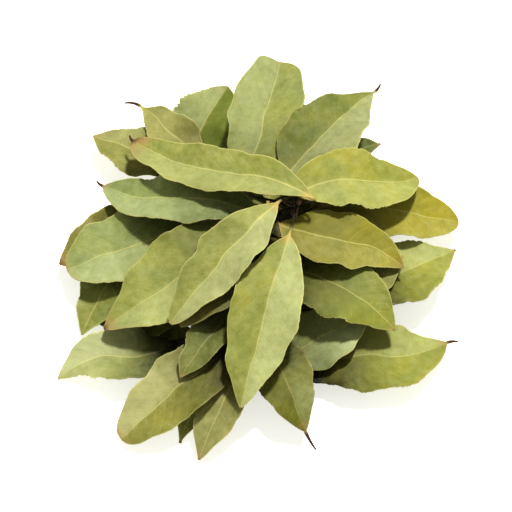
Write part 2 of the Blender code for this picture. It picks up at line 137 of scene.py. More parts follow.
WELL_INSIDE = 5.0  # from the margin, for the finish of a stalk or a hook
LATTICE = 31  # cells of the random surfaces before they repeat
# rows of a leaf's random surface, far enough apart to be unlike
LEFT_LANE, STRAY_LANE, DRIFT_LANE, SHARE_LANE = 14.0, 2.5, 9, 11
RIB_LANE, RIB_LANE_STEP, CRINKLE_LANE = 3, 5, 15
SEED = 11
TWIG_VOXEL = 0.42
TWIG_SMOOTHING = 8
BARK_GRAIN = (0.9, 0.5, 0.9)  # cells of the wrinkles in 1 mm, along each axis
BARK_OCTAVES = 4
BARK_LEVEL = 0.6  # of the wrinkles, where the bark stays put
BARK_WRINKLE = 0.35
BARK_RELIEF = 0.3  # depth of the grain that is too fine for the mesh
LEAF_RELIEF = 0.16
LENTICELS = 26000  # on a square metre of bark
LENTICEL_LENGTH = 0.9
LENTICEL_FORM = (0.55, 0.3)  # width and height, as parts of the length
LENTICEL_SIZES = (0.55, 1.25)  # smallest and largest, as parts of the usual one
LEAF_SHINE = 0.22
UNDERSIDE_PALE = 0.3  # how much paler an underside is
VEIN_LIGHT, RIB_LIGHT, MARGIN_LIGHT = 0.16, 0.6, 0.6  # how much of the vein's colour each takes

# ---- twig and leaves, as in the part's source
TWIG = {
    # name: (points x, y, z, radius), from where it leaves its parent to its tip
    "stem": ((34, 62, 2.2, 2.5), (28, 44, 2.2, 2.5), (21, 26, 2.2, 2.5), (15, 9, 2.2, 2.45),
             (9, -9, 2.1, 2.35), (6, -24, 2.6, 2.1), (6, -40, 5.0, 1.8), (8, -54, 6.5, 1.4)),
    "crown": ((16, 12, 2.6, 2.0), (15, 10, 12, 1.9), (15, 9, 24, 1.7), (16, 9, 34, 1.5),
              (17, 8, 38.5, 1.2)),
    "left": ((20, 22, 2.4, 1.9), (5, 23, 6, 1.8), (-15, 22, 8, 1.6), (-34, 21, 9, 1.4), (-47, 21, 8, 1.1)),
    "front_left": ((10, -6, 2.4, 1.8), (-4, -14, 5, 1.7), (-18, -26, 8, 1.5), (-25, -32, 8.5, 1.2)),
    "right": ((12, 1, 2.4, 1.8), (20, -7, 5, 1.7), (27, -18, 8, 1.5), (31, -28, 9, 1.2)),
}


@dataclass
class Leaf:
    """One leaf: what it grows on, where its blade starts and points, and how it has dried."""

    name: str
    tone: str
    on: tuple  # branch of the twig, and how far along it
    base: tuple  # start of the blade
    heading: float
    reach: float  # along the heading, seen from above
    tip_z: float
    width: float
    fold: float = 12.0  # each half rises by this angle; below 0 the midrib is a ridge
    roll: float = 0.0  # lifts the side on the left of the heading
    arch: float = 3.0  # rise of the midrib half way along
    sway: float = 0.0  # S-bend of the midrib
    sweep: float = 0.0  # bow of the midrib to the left
    ripple: float = 1.1
    peak: float = 0.46  # where it is widest
    heel: float = 0.8  # 0.5 is a round base, 1 a wedge
    blunt: float = 0.8  # 0.5 is a round tip, above 1 a drawn-out one
    hook: float = 0.0  # length of a dried, curled tip
    hook_turn: float = 0.0
    hook_rise: float = 0.0
    lobe: float = 0.0  # the left half runs on this far past the end of the midrib, beside a notch


LEAVES = (
    # hidden and half hidden leaves, low in the mound
    Leaf("front_left_low", "green", ("front_left", 0.85), (-26, -38, 6), 200, 34, 2, 22, fold=4, arch=1),
    Leaf("centre_left", "green", ("stem", 0.5), (7, 2, 6), 135, 17, 4, 17, fold=4, arch=1),
    Leaf("heart_left", "olive", ("stem", 0.47), (9, 8, 6), 101, 34, 4, 18, fold=4, arch=1),
    Leaf("heart_back", "olive", ("stem", 0.36), (17, 15, 6), 86, 27, 4, 22, heel=0.6, fold=4, arch=1),
    Leaf("left_fill", "grey", ("left", 0.9), (-49, 16, 4), 198, 36, 2, 22, fold=4, arch=1),
    Leaf("back_fill", "olive", ("stem", 0.1), (27, 62, 4), 120, 24, 3, 18, fold=6, arch=1),
    Leaf("back_low", "green", ("stem", 0.25), (17, 50, 5), 103, 33, 2, 19, fold=6, arch=1),
    Leaf("back_low_left", "yellow", ("left", 0.42), (-11, 37, 6), 113, 36, 3, 20, fold=6, arch=1),
    Leaf("right_fill", "olive", ("right", 0.7), (33, -14, 6), 6, 44, 3, 24, fold=4, arch=1),
    Leaf("low_left_fill", "olive", ("front_left", 0.8), (-31, -27, 5), 183, 41, 1, 28, fold=4, arch=1),
    Leaf("front_tip", "green", ("front_left", 0.7), (-19, -46, 5), 251, 46, 1, 18, fold=6, blunt=1.1),
    Leaf("back_tip", "green", ("stem", 0.28), (28, 44, 6), 26, 29, 8, 16, blunt=1.1),
    Leaf("front_fill", "olive", ("front_left", 0.45), (-9, -30, 7), 262, 46, 2, 18, fold=4, arch=1),
    Leaf("inner_low", "olive", ("stem", 0.52), (14, -8, 6), 274, 40, 3, 20, fold=4, arch=1),
    Leaf("centre_back", "green", ("crown", 0.25), (9, 19, 12), 116, 48, 10, 28, heel=0.5, fold=4, arch=1),
    Leaf("centre_front", "olive", ("crown", 0.2), (9, 5, 10), 222, 35, 7, 28, fold=4, arch=1),
    Leaf("centre_right", "olive", ("crown", 0.25), (23, 16, 12), 27, 48, 8, 27, heel=0.6, fold=4, arch=1),
    # the rim
    Leaf("rim_low", "green", ("left", 0.97), (-56, 8, 7), 245, 50, 1, 22, fold=6, roll=6, arch=1),
    Leaf("rim_front", "olive", ("stem", 0.85), (-3, -52, 6), 244, 52, 1, 22, fold=8, roll=8),
    Leaf("rim_left", "olive", ("left", 0.95), (-46, 17, 8), 208, 47, 3, 27, fold=6, arch=1),
    Leaf("low_left", "green", ("front_left", 0.97), (-35, -44, 9), 195, 54, 1, 27, sway=3, blunt=0.9),
    Leaf("low_right", "yellow", ("stem", 0.98), (17, -60, 7), 15, 67, 5, 36, sway=3, fold=5, heel=0.6,
         hook=5, hook_turn=-60, hook_rise=35),
    Leaf("under_right", "grey", ("stem", 0.93), (5, -56, 9), 28, 48, 9, 29, fold=4),
    Leaf("back_left", "yellow", ("left", 0.66), (-36, 43, 12), 62, 47, 16, 32, fold=18),
    Leaf("left_back", "olive", ("left", 0.75), (-34, 36, 12), 148, 47, 8, 24, fold=6, arch=1),
    Leaf("left_dark_hook", "olive", ("left", 0.6), (-26, 41, 13), 131, 41, 12, 21, fold=8, blunt=1.3,
         hook=8, hook_turn=50),
    Leaf("low_front", "yellow", ("stem", 0.8), (0, -43, 12), 294, 49, 4, 26, fold=8, hook=9,
         hook_turn=20, hook_rise=-20),
    Leaf("low_front_left", "olive", ("front_left", 0.75), (-8, -49, 11), 218, 65, 3, 30, fold=8, blunt=0.42),
    Leaf("right", "yellow", ("right", 0.95), (38, -28, 10), 32, 57, 8, 34, fold=8, blunt=1.0),
    Leaf("right_back", "yellow", ("crown", 0.4), (29, 18, 19), 358, 59, 8, 29, fold=8, blunt=0.5),
    Leaf("inner_right", "olive", ("right", 0.85), (26, -29, 13), 31, 43, 15, 26, fold=6),
    Leaf("small_curled", "green", ("front_left", 0.66), (-8, -30, 16), 235, 45, 11, 19, fold=20),
    # the middle of the mound
    Leaf("inner_back", "green", ("crown", 0.5), (4, 20, 20), 72, 28, 22, 22),
    Leaf("mid_left", "grey", ("left", 0.35), (-19, 13, 12), 200, 69, 5, 37, fold=8, arch=2, blunt=0.42),
    Leaf("mid_front_left", "yellow", ("crown", 0.5), (0, 8, 20), 216, 83, 6, 40, heel=0.6, fold=6, arch=2,
         sweep=4),
    Leaf("inner_front", "olive", ("crown", 0.55), (2, -1, 22), 232, 58, 12, 31, fold=6, arch=2),
    Leaf("mid_right", "green", ("crown", 0.6), (11, -16, 22), 330, 55, 11, 34, fold=5, peak=0.4,
         heel=0.55, sweep=3),
    Leaf("back", "grey", ("crown", 0.62), (-5, 25, 25), 77, 65, 26, 32, fold=9, peak=0.5, heel=0.7,
         blunt=0.45, lobe=7),
    Leaf("back_right", "green", ("crown", 0.66), (12, 25, 29), 53, 66, 18, 34, fold=10, peak=0.36,
         heel=0.6, blunt=1.15, hook=6, hook_turn=20),
    # the crown
    Leaf("crown_left", "grey", ("crown", 0.7), (1, 7, 26), 162, 73, 12, 27, fold=9, sway=-2, sweep=3,
         hook=5, hook_turn=-25, blunt=0.6),
    Leaf("crown_right", "olive", ("crown", 0.74), (9, 1, 31), 344, 56, 16, 28, fold=6, sway=-2, heel=0.65),
    Leaf("crown_right_back", "yellow", ("crown", 0.86), (16, 12, 39), 19, 57, 22, 30, fold=8, sway=2,
         heel=0.5, blunt=0.6),
    Leaf("crown_front", "yellow", ("crown", 0.9), (13, -9, 34), 254, 76, 9, 31, fold=9, blunt=0.8),
    Leaf("crown_front_left", "green", ("crown", 0.97), (8, 5, 38), 228, 69, 16, 25, fold=9, blunt=0.65),
    Leaf("crown_left_back", "green", ("crown", 0.98), (23, 6, 44), 152, 89, 25, 23, fold=9, sway=-3,
         sweep=3, blunt=0.42, hook=4, hook_turn=-40),
)


# ---- finishes
def colour(red, green, blue):
    """A colour as a painter's chart gives it, 0 to 255, made linear for a shader."""
    parts = (value / 255 for value in (red, green, blue))
    return (*(part / 12.92 if part <= 0.04045 else ((part + 0.055) / 1.055) ** 2.4 for part in parts), 1.0)


# how a leaf has dried, and the painted light and shade on it: gold, pale and brown 0 to 1, light about 1,
# set below 1 as painted shade on the hidden and shaded leaves, ragged margins 0 to 1, how much paler and
# lighter its left half is as painted light, -1 to 1, and how much darker its base is as painted shade, 0 to 1
Look = namedtuple("Look", "gold pale light brown ragged halves deep", defaults=(0, 0))

LOOKS = {
    # the hidden fill leaves, kept dark with a low light as painted shade of the mound's hollows
    "front_left_low": (0.2, 0.1, 0.38, 0.2, 0.2),
    "centre_left": (0.2, 0.1, 0.3, 0.1, 0.2),
    "heart_left": (0.2, 0.1, 0.3, 0.1, 0.2),
    "heart_back": (0.2, 0.1, 0.3, 0.1, 0.2),
    "left_fill": (0.2, 0.2, 0.7, 0.2, 0.2),
    "back_fill": (0.1, 0.2, 0.65, 0.2, 0.2),
    "back_low": (0.2, 0.3, 0.7, 0.1, 0.2),
    "back_low_left": (0.3, 0.3, 0.7, 0.2, 0.2),
    "right_fill": (0.3, 0.2, 0.5, 0.1, 0.2),
    "low_left_fill": (0.2, 0.1, 0.4, 0.2, 0.2),
    "front_tip": (0.3, 0.4, 0.92, 0.3, 0.3, 0, 0.8),
    "back_tip": (0.0, 0.2, 0.55, 0.3, 0.8),
    "front_fill": (0.2, 0.1, 0.4, 0.1, 0.2),
    "inner_low": (0.2, 0.1, 0.32, 0.1, 0.2),
    "centre_back": (0.3, 0.2, 0.5, 0.1, 0.2),
    "centre_front": (0.2, 0.1, 0.35, 0.1, 0.2),
    "centre_right": (0.3, 0.2, 0.5, 0.1, 0.2),
    "rim_low": (0.2, 0.2, 0.85, 0.1, 0.3, 0, 0.8),
    "rim_front": (0.2, 0.6, 0.95, 0.5, 0.3, 0, 0.6),
    "rim_left": (0.3, 0.3, 0.85, 0.8, 0.5, 0, 0.7),
    "low_left": (0.15, 0.9, 1.17, 0.3, 0.8, -0.6, 0.96),
    "low_right": (0.4, 0.3, 0.95, 0.4, 0.6, 0.4, 0.96),
    "under_right": (0.35, 0.75, 0.92, 0.1, 0.2, -0.4, 0.7),
    "back_left": (0.0, 0.35, 0.8, 0.2, 1.0, 0.9, 0.3),
    "left_back": (0.12, 0.5, 1.02, 0.3, 0.7, -0.4, 0.5),
    "left_dark_hook": (0.35, 0.5, 0.95, 0.4, 0.4, 0, 0.3),
    "low_front": (0.4, 0.1, 0.6, 0.4, 0.4, 1.0, 0.96),
    "low_front_left": (0.2, 0.62, 1.07, 0.3, 0.3, -0.9, 0.96),
    "right": (0.4, 0.4, 1.0, 0.5, 1.0, 0.5, 0.92),
    "right_back": (0.9, 0.1, 0.89, 0.1, 0.3, -0.2, 0.6),
    "inner_right": (0.3, 0.4, 0.8, 0.2, 0.2),
    "small_curled": (0.2, 0.3, 0.64, 0.2, 0.5, 0, 0.92),
    "inner_back": (0.2, 0.4, 0.9, 0.1, 0.2),
    "mid_left": (0.2, 0.5, 1.0, 0.2, 0.5, 0.4, 0.85),
    "mid_front_left": (0.3, 0.55, 0.97, 0.6, 0.5, 0.4, 0.6),
    "inner_front": (0.3, 0.3, 0.5, 0.1, 0.2, 0, 0.7),
    "mid_right": (0.3, 0, 0.91, 0.3, 0.7, 0.2, 0.75),
    "back": (0.5, 0.36, 0.92, 0.1, 0.1, 0.3, 0.2),
    "back_right": (0.2, 0.4, 0.84, 0.2, 0.3, -0.7, 0.2),
    "crown_left": (0.0, 0.5, 0.93, 0.2, 0.35, 0.4, 0.5),
    "crown_right": (0.5, 0, 0.97, 0.5, 0.3, -0.5, 0.2),
    "crown_right_back": (0.5, 0.3, 0.96, 0.3, 0.6, -0.3),
    "crown_front": (0.38, 0.6, 1.0, 0.1, 0.2, 0.7),
    "crown_front_left": (0.4, 0.52, 1.0, 0.2, 0.2, 0.5),
    "crown_left_back": (0.35, 0.35, 1.01, 0.7, 0.3, 0.3),
}

LEAF_COLOURS = {
    "green": {"Green": colour(117, 129, 57), "Gold": colour(150, 142, 52), "Pale": colour(159, 163, 118)},
    "yellow": {"Green": colour(121, 133, 54), "Gold": colour(158, 147, 42), "Pale": colour(161, 167, 115)},
    "olive": {"Green": colour(117, 119, 49), "Gold": colour(146, 136, 44), "Pale": colour(158, 157, 108)},
    "grey": {"Green": colour(122, 136, 70), "Gold": colour(146, 144, 60), "Pale": colour(158, 166, 122)},
}
for chart in LEAF_COLOURS.values():
    # Stalk: the dark brown of a dried stalk, darkened to near black as painted shade where the stalks cross
    # the crown's hollow
    chart.update({"Vein": colour(192, 186, 118), "Brown": colour(70, 44, 24), "Tan": colour(160, 124, 82),
                  "Base": colour(200, 160, 92), "Stalk": colour(42, 33, 20)})
BARK_DARK, BARK_LIGHT, BARK_GREY = colour(74, 54, 38), colour(122, 92, 62), colour(140, 126, 104)
CORK_DARK, CORK_LIGHT = colour(150, 120, 84), colour(190, 164, 124)


def unit(v):
    return v / np.linalg.norm(v)


def units(rows):
    """Each row of an array made one long."""
    return rows / np.linalg.norm(rows, axis=-1, keepdims=True)


def turned(v, axis, angle):
    """v turned about a unit axis by an angle in radians."""
    cos, sin = math.cos(angle), math.sin(angle)
    return v * cos + np.cross(axis, v) * sin + axis * np.dot(axis, v) * (1 - cos)


def spline(points, t):
    """A smooth curve (Catmull-Rom) through rows of numbers, at t from 0 to 1."""
    rows = np.array(points, dtype=float)
    rows = np.vstack((2 * rows[0] - rows[1], rows, 2 * rows[-1] - rows[-2]))
    spans = len(rows) - 3
    i = min(int(t * spans), spans - 1)
    f = t * spans - i
    a, b, c, d = rows[i:i + 4]
    bend, twist = 2 * a - 5 * b + 4 * c - d, 3 * b - a - 3 * c + d
    return 0.5 * (2 * b + (c - a) * f + bend * f * f + twist * f ** 3)


def smooth_through(stations, values, u):
    """A smooth curve (cubic) through one value at each station."""
    slopes = np.gradient(values, stations)
    k = np.clip(np.searchsorted(stations, u, side="right") - 1, 0, len(stations) - 2)
    span = stations[k + 1] - stations[k]
    t = (u - stations[k]) / span
    return (values[k] * (1 + 2 * t) * (1 - t) ** 2 + values[k + 1] * t * t * (3 - 2 * t)
            + slopes[k] * span * t * (1 - t) ** 2 - slopes[k + 1] * span * t * t * (1 - t))


def undulation(lattice, x, y):
    """A smooth random surface, -1 to 1, through a lattice of heights; x and y are counted in its cells."""
    i, j = np.floor(x).astype(int), np.floor(y).astype(int)
    s, t = (part * part * part * (part * (part * 6 - 15) + 10) for part in (x - i, y - j))
    a, b, c, d = (lattice[(i + m) % LATTICE, (j + n) % LATTICE] for m, n in ((0, 0), (1, 0), (0, 1), (1, 1)))
    return (a * (1 - s) + b * s) * (1 - t) + (c * (1 - s) + d * s) * t


def branch_at(name, t):
    """Point, direction and radius of a branch of the twig."""
    points = TWIG[name]
    here = spline(points, t)
    ahead = spline(points, min(t + 0.01, 1))[:3] - spline(points, max(t - 0.01, 0))[:3]
    return here[:3] - CENTRE, unit(ahead), here[3]


def put(name, data):
    """A new object in the scene."""
    obj = bpy.data.objects.new(name, data)
    bpy.context.collection.objects.link(obj)
    return obj


def make_mesh(name, verts, faces):
    """A smooth object from vertices in millimetres."""
    mesh = bpy.data.meshes.new(name)
    mesh.from_pydata((verts * MM).tolist(), [], faces)
    mesh.shade_smooth()
    return put(name, mesh)


def work_in(obj):
    """Work an object's modifiers into a mesh of its own."""
    bpy.context.view_layer.update()
    done = obj.evaluated_get(bpy.context.evaluated_depsgraph_get())
    mesh = bpy.data.meshes.new_from_object(done)
    obj.modifiers.clear()
    obj.data = mesh
    return mesh


def wear(obj, mat):
    """Give a finished piece its material and its place in the frame."""
    obj.data.materials.clear()
    obj.data.materials.append(mat)
    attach(obj, "root")


# ---- the shape of one leaf
class Blade:
    """The surface of one leaf: u runs from the start of the blade to its tip, v from -1 to 1 across it."""

    def __init__(self, leaf, number):
        self.leaf = leaf
        self.look = Look(*LOOKS[leaf.name])
        self.phase = math.radians(PHASE_START + PHASE_STEP * number)
        heading = math.radians(leaf.heading)
        self.ahead = np.array((math.cos(heading), math.sin(heading), 0.0))
        self.left = np.array((-math.sin(heading), math.cos(heading), 0.0))
        self.lattice = np.random.default_rng(SEED + number).uniform(-1, 1, (LATTICE, LATTICE))
        self.lift = np.zeros(len(BLADE_STATIONS))

    def rib(self, u):
        leaf = self.leaf
        aside = leaf.sweep * np.sin(np.pi * u) + leaf.sway * np.sin(2 * np.pi * u)
        spot = np.array(leaf.base) - CENTRE + u[..., None] * leaf.reach * self.ahead
        spot = spot + aside[..., None] * self.left
        spot[..., 2] += (leaf.tip_z - leaf.base[2]) * u + leaf.arch * np.sin(np.pi * u)
        return spot

    def half_width(self, u):
        leaf = self.leaf
        rising = np.sin(np.pi / 2 * np.clip(u / leaf.peak, 0, 1)) ** leaf.heel
        falling = np.cos(np.pi / 2 * np.clip((u - leaf.peak) / (1 - leaf.peak), 0, 1)) ** leaf.blunt
        form = np.where(u < leaf.peak, rising, falling)
        form = form * (1 + MARGIN_WAVE * np.sin(2 * np.pi * MARGIN_WAVES * u + self.phase))
        least = NECK_HALF_WIDTH + (TIP_HALF_WIDTH - NECK_HALF_WIDTH) * u
        return np.maximum(leaf.width / 2 * form, least)

    def axes(self, u):
        """Unit vectors along the rib, to its left and up from it, with the roll in them."""
        step = 0.002
        ahead = units(self.rib(np.minimum(u + step, 1)) - self.rib(np.maximum(u - step, 0)))
        side = units(np.cross((0.0, 0.0, 1.0), ahead))
        roll = math.radians(self.leaf.roll)
        side = side * math.cos(roll) + np.cross(ahead, side) * math.sin(roll)
        return ahead, side, np.cross(ahead, side)

    def point(self, u, v):
        leaf = self.leaf
        _, side, up = self.axes(u)
        half = self.half_width(u)
        fold = math.radians(leaf.fold)
        wave = np.sin(2 * np.pi * RIPPLES * u + self.phase + np.where(v < 0, RIGHT_BEHIND, 0.0))
        height = np.abs(v) * half * math.sin(fold)
        fade = np.sqrt(np.clip(np.sin(np.pi * u), 0, 1))
        height = height + leaf.ripple * np.abs(v) ** RIPPLE_GROWTH * wave * fade
        flat = self.rib(u) + side * (v * half * math.cos(fold))[..., None]
        return flat + up * height[..., None] + self.lobe(u, v)

    def lobe(self, u, v):
        """How far the blade runs on beside a notch at its tip."""
        part = np.clip((u - LOBE_START) / (1 - LOBE_START), 0, 1)
        far = np.where(v < 0, RIGHT_LOBE, 1.0) * np.abs(v) ** LOBE_STEEP
        reach = self.leaf.lobe * far * np.sin(np.pi * part ** LOBE_LATE)
        return self.ahead * reach[..., None]

    def normal(self, u, v):
        du, dv = 0.004, 0.05
        along = self.point(np.minimum(u + du, 1), v) - self.point(np.maximum(u - du, 0), v)
        across = self.point(u, v + dv) - self.point(u, v - dv)
        return units(np.cross(along, across))

    def take_lift(self, node):
        """Read from the laid solid how far each station stands above its drawn place."""
        corners = np.array([v.co for v in node.data.vertices]) / MM
        u = BLADE_STATIONS
        half = (SOLID_BLADE + (SOLID_NECK - SOLID_BLADE) * np.clip(1 - u / SOLID_NECK_LENGTH, 0, 1)) / 2
        drawn = self.point(u, 0 * u) + self.normal(u, 0 * u) * half[:, None]
        for k, top in enumerate(drawn):
            near = np.hypot(corners[:, 0] - top[0], corners[:, 1] - top[1]) < SAME_SPOT
            self.lift[k] = corners[near, 2].max() - top[2]

    def rows(self, u):
        """Where the mesh has its rows: v from the left margin to the right one, for every station."""
        rib = RIB_HALF_WIDTH[0] + (RIB_HALF_WIDTH[1] - RIB_HALF_WIDTH[0]) * u
        half = self.half_width(u)
        even = np.linspace(0, 1, SIDE_ROWS + 1)
        near = len(RIB_ROWS) - 1
        part = np.minimum(np.outer(rib / half, RIB_ROWS), even[:near + 1])
        last = part[:, near:]
        rest = last + (1 - last) * np.linspace(0, 1, SIDE_ROWS - near + 1)[1:]
        side = np.hstack((part, rest))
        return np.hstack((side[:, :0:-1], -side))

    def along(self, u):
        """Millimetres along the midrib."""
        steps = np.linalg.norm(np.diff(self.rib(u), axis=0), axis=1)
        return np.concatenate(((0.0,), np.cumsum(steps)))

    def margin_stray(self, along, v):
        """How far each margin strays from its smooth outline, with teeth where it is ragged."""
        lane = np.where(v < 0, 0.0, LEFT_LANE)
        stray = sum(reach * undulation(self.lattice, along / cell, lane + STRAY_LANE * row)
                    for row, (cell, reach) in enumerate(MARGIN_STRAYS)) * (LEAST_STRAY + self.look.ragged)
        drift = TOOTH_DRIFT * undulation(self.lattice, along / TOOTH_DRIFT_CELL, lane + DRIFT_LANE)
        share = TOOTH_SHARE + undulation(self.lattice, along / TOOTH_SHARE_CELL, lane + SHARE_LANE)
        depth = TOOTH_DEPTH * (self.look.ragged * np.clip(share, 0, 1))
        return stray - depth * (1 - np.abs(np.sin(np.pi * (along / TOOTH_LENGTH + drift))))

    def vein_count(self, along, across):
        """A number that is whole on each side vein, and grows by one from vein to vein."""
        far = np.abs(across)
        count = (along - VEIN_SLANT * far - VEIN_BEND * far * far) / VEIN_SPACING
        sway = VEIN_SWAY * np.sin(far * VEIN_SWAY_TURN + self.phase)
        return count + np.where(across < 0, VEIN_SHIFT, 0.0) + sway

    def skin(self):
        """The blade's rows of points, upper face and underside, with what its finish needs to know."""
        u = np.linspace(0, 1, STATIONS + 1)
        v = self.rows(u)
        uu = np.broadcast_to(u[:, None], v.shape)
        fade = np.clip(np.sin(np.pi * uu), 0, 1) ** 0.5
        along = self.along(u)[:, None] * np.ones_like(v)
        smooth = self.half_width(u)[:, None] * np.ones_like(v)
        half = smooth + self.margin_stray(along, v) * fade * np.clip(smooth / NARROW, 0, 1)
        across = v * half
        vein = self.vein_count(along, across)
        v_there = across / smooth
        middle = self.point(uu, v_there)
        middle[..., 2] += smooth_through(BLADE_STATIONS, self.lift, u)[:, None]
        normal = self.normal(uu, v_there)
        for row, (cell, reach) in enumerate(RIB_STRAYS):
            lane = 0 * along + RIB_LANE + RIB_LANE_STEP * row
            aside = reach * undulation(self.lattice, along / cell, lane) * fade ** 2
            middle = middle + self.left * aside[..., None]
        outer = np.clip((half - np.abs(across)) / PUCKER_TO, 0, 1)
        inner = np.clip(np.abs(across) / PUCKER_FROM, 0, 1)
        lift = -PUCKER / 2 * np.cos(2 * np.pi * vein) * outer * inner * fade
        for cell, height, edge in CRINKLES:
            bump = undulation(self.lattice, along / cell, across / cell + CRINKLE_LANE)
            lift += height * bump * np.abs(v) ** edge * fade
        middle = middle + normal * lift[..., None]
        neck = np.clip(1 - uu / NECK_LENGTH, 0, 1) ** 2
        thick = BLADE_THICKNESS + (NECK_THICKNESS - BLADE_THICKNESS) * neck
        rib_half = RIB_HALF_WIDTH[0] + (RIB_HALF_WIDTH[1] - RIB_HALF_WIDTH[0]) * uu
        rib = np.clip(1 - (np.abs(across) / (RIB_SPREAD * rib_half)) ** 2, 0, 1) ** 2
        top = middle + normal * (thick / 2 + RIB_TOP * rib)[..., None]
        under = middle - normal * (thick / 2 + RIB_UNDER * (1 - RIB_UNDER_LOSS * uu) * rib)[..., None]
        facts = {"u": uu, "across": across, "along": along, "vein": vein, "edge": half - np.abs(across)}
        return top, under, facts


def ring_angles(count):
    """Angles round a stalk, matched to a blade's rows: over the top from left to right, then underneath."""
    step = 180.0 / (count + 1)
    over = [180 - step * (i + 1) for i in range(count)]
    return np.radians(over + [0.0] + [-a for a in reversed(over)] + [180.0])


def round_ring(centre, side, up, radius, angles):
    return centre + (np.outer(np.cos(angles), side) + np.outer(np.sin(angles), up)) * radius


def stalk_rows(blade, angles):
    """Rings from inside the bark to just before the blade, swollen where the stalk leaves the bark."""
    ahead, side, _ = (part[0] for part in blade.axes(np.zeros(1)))
    end = blade.rib(np.zeros(1))[0] + np.array((0, 0, blade.lift[0]))
    bark, bark_axis, bark_radius = branch_at(*blade.leaf.on)
    out = end - bark
    out = unit(out - bark_axis * np.dot(out, bark_axis))
    out = unit(out + STALK_LEAN * bark_axis)
    a = bark + out * (bark_radius - STALK_SUNK)
    pull = max(STALK_PULL * np.linalg.norm(end - a), LEAST_PULL)
    b, c, d = a + out * pull, end - ahead * pull, end
    rings = []
    for i in range(STALK_STEPS):
        t = i / STALK_STEPS
        centre = a * (1 - t) ** 3 + 3 * b * t * (1 - t) ** 2 + 3 * c * t * t * (1 - t) + d * t ** 3
        along = unit(3 * (b - a) * (1 - t) ** 2 + 6 * (c - b) * t * (1 - t) + 3 * (d - c) * t * t)
        across = unit(side - along * np.dot(side, along))
        radius = STALK_FINE * (1 + STALK_SWELL * math.exp(-(t / STALK_SWELL_LENGTH) ** 2))
        rings.append(round_ring(centre, -across, np.cross(along, across), radius, angles))
    return rings


def hook_rows(blade, angles):
    """Rings of a dried, curled tip, which thins to its end."""
    leaf = blade.leaf
    if not leaf.hook:
        return []
    ahead, side, _ = (part[0] for part in blade.axes(np.ones(1)))
    centre = blade.rib(np.ones(1))[0] + np.array((0, 0, blade.lift[-1]))
    rings = []
    for i in range(HOOK_STEPS):
        ahead = turned(ahead, np.array((0.0, 0.0, 1.0)), math.radians(leaf.hook_turn) / HOOK_STEPS)
        ahead = unit(turned(ahead, side, -math.radians(leaf.hook_rise) / HOOK_STEPS))
        side = unit(side - ahead * np.dot(side, ahead))
        centre = centre + ahead * leaf.hook / HOOK_STEPS
        radius = HOOK_RADIUS[0] + (HOOK_RADIUS[1] - HOOK_RADIUS[0]) * (i + 1) / HOOK_STEPS
        rings.append(round_ring(centre, -side, np.cross(ahead, side), radius, angles))
    return rings


def loft(rings):
    """Vertices and faces of a closed skin through rings of points."""
    count = len(rings[0])
    verts = np.vstack(rings)
    faces = []
    for r in range(len(rings) - 1):
        low, high = r * count, (r + 1) * count
        faces += [(low + j, low + (j + 1) % count, high + (j + 1) % count, high + j) for j in range(count)]
    for ring, flip in ((0, True), (len(rings) - 1, False)):
        start = ring * count
        verts = np.vstack((verts, rings[ring].mean(axis=0)))
        centre = len(verts) - 1
        for j in range(count):
            a, b = start + j, start + (j + 1) % count
            faces.append((centre, b, a) if flip else (centre, a, b))
    return verts, faces


def mark(obj, values):
    """Store facts about each vertex for the material: name -> rows of three numbers."""
    for name, rows in values.items():
        layer = obj.data.attributes.new(name, "FLOAT_VECTOR", "POINT")
        layer.data.foreach_set("vector", np.ascontiguousarray(rows, dtype=np.float32).ravel())


def ring_facts(values, before, after):
    """One fact for every vertex: from the blade's rows, and one value for each ring of stalk and hook."""
    ring = np.hstack((values, values[:, -1:], values[:, ::-1], values[:, :1]))
    round_each = [np.repeat(part, ring.shape[1]) for part in (before, after)]
    flat = np.concatenate((round_each[0], ring.ravel(), round_each[1]))
    return np.append(flat, (before[0], after[-1] if len(after) else values[-1, 0]))


